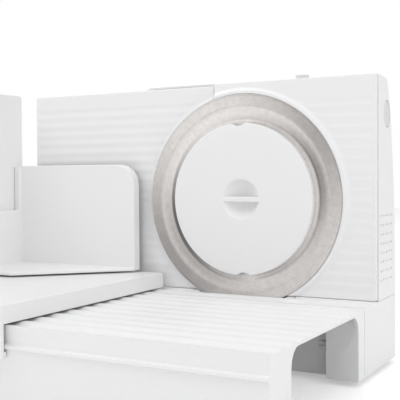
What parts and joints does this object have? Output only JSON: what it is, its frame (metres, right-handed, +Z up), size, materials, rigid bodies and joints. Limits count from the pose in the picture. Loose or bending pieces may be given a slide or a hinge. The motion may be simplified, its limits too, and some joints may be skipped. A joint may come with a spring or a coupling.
{
  "type": "food slicer",
  "caption": "Motor-driven food slicer with a round blade, ribbed stop plate, sliding carriage, residue holder and thickness knob.",
  "frame": {"origin": "centre of the machine's footprint on the worktop, carriage at its left stop", "axes": "+X to the right along the blade and the carriage's travel, +Y away from the user, +Z up"},
  "size_m": [0.3538, 0.269, 0.2282],
  "materials": {
    "white_plastic": "satin moulded",
    "grey_plastic": "fine moulded grain",
    "gear_plastic": "natural acetal",
    "dark_plastic": "matt moulded",
    "rubber": "matt",
    "blade_steel": "turned and ground",
    "zinc_steel": "zinc plated",
    "laminations": "stamped sheets",
    "copper": "turned",
    "bronze": "sintered",
    "carbon": "pressed"
  },
  "bodies": {
    "housing": {"base_table": "white_plastic", "foot_housing": "white_plastic", "bottom_cover": "grey_plastic", "front_panel": "white_plastic", "housing_body": "white_plastic", "rear_cover": "white_plastic", "cord_gland": "grey_plastic", "gear_frame": "zinc_steel", "blade_spindle": "zinc_steel", "spindle_clip": "zinc_steel", "power_switch": "dark_plastic", "safety_switch": "dark_plastic", "motor_cradle": "grey_plastic", "motor_stator": "laminations", "motor_brush_end": "dark_plastic", "motor_fan_end": "zinc_steel", "carbon_brush_1": "carbon", "carbon_brush_2": "carbon", "shaft_bearing_left": "bronze", "shaft_bearing_right": "bronze", "shaft_bearing_fan": "bronze", "guide_rod_1": "zinc_steel", "guide_rod_2": "zinc_steel", "rubber_foot_1": "rubber", "rubber_foot_2": "rubber", "rubber_foot_3": "rubber", "rubber_foot_4": "rubber", "gear_frame_screw_1": "zinc_steel", "gear_frame_screw_2": "zinc_steel", "gear_frame_screw_3": "zinc_steel", "gear_frame_screw_4": "zinc_steel", "rear_cover_screw_1": "zinc_steel", "rear_cover_screw_2": "zinc_steel", "rear_cover_screw_3": "zinc_steel", "rear_cover_screw_4": "zinc_steel", "table_screw_1": "zinc_steel", "table_screw_2": "zinc_steel"},
    "cutter": {"drive_wheel": "gear_plastic", "blade": "blade_steel"},
    "cutter_cover": {"blade_cover": "white_plastic"},
    "rotor": {"motor_shaft": "zinc_steel", "motor_armature": "laminations", "motor_commutator": "copper", "cooling_fan": "dark_plastic"},
    "stop": {"stop_plate": "white_plastic", "plate_carrier": "grey_plastic"},
    "thickness_dial": {"thickness_knob": "grey_plastic", "adjusting_drum": "gear_plastic"},
    "carriage": {"carriage_tray": "white_plastic", "carriage_wall": "white_plastic"},
    "holder": {"residue_holder": "white_plastic", "holder_slide": "white_plastic"},
    "power_key": {"power_button": "grey_plastic"},
    "safety_key": {"safety_button": "grey_plastic"}
  },
  "joints": [
    {"name": "blade_spin", "type": "hinge", "parent": "housing", "child": "cutter", "pos_m": [0.06505, 0.0665, 0.13], "axis": [0, 1, 0], "continuous": true},
    {"name": "rotor_spin", "type": "hinge", "parent": "housing", "child": "rotor", "pos_m": [0.06505, 0.0951, 0.088], "axis": [1, 0, 0], "continuous": true},
    {"name": "cover_lock", "type": "hinge", "parent": "cutter", "child": "cutter_cover", "pos_m": [0.06505, 0.0665, 0.13], "axis": [0, 1, 0], "range_deg": [0, 60]},
    {"name": "thickness_turn", "type": "hinge", "parent": "housing", "child": "thickness_dial", "pos_m": [-0.07495, 0.1173, 0.027], "axis": [0, -1, 0], "range_deg": [-80, 220]},
    {"name": "stop_plate_slide", "type": "slide", "parent": "housing", "child": "stop", "axis": [0, 1, 0], "range_m": [-0.004, 0.011]},
    {"name": "carriage_slide", "type": "slide", "parent": "housing", "child": "carriage", "axis": [1, 0, 0], "range_m": [0, 0.185]},
    {"name": "holder_slide_joint", "type": "slide", "parent": "carriage", "child": "holder", "axis": [0, -1, 0], "range_m": [0, 0.105]},
    {"name": "power_button_push", "type": "slide", "parent": "housing", "child": "power_key", "axis": [-1, 0, 0], "range_m": [0, 0.0025], "stiffness_N_per_m": 600, "springref_m": -0.001},
    {"name": "safety_button_push", "type": "slide", "parent": "housing", "child": "safety_key", "axis": [0, 0, -1], "range_m": [0, 0.003], "stiffness_N_per_m": 500, "springref_m": -0.001}
  ],
  "couplings": [
    {"joint": "rotor_spin", "follows": "blade_spin", "ratio": 48},
    {"joint": "thickness_turn", "follows": "stop_plate_slide", "rad_per_m": 349.07}
  ]
}
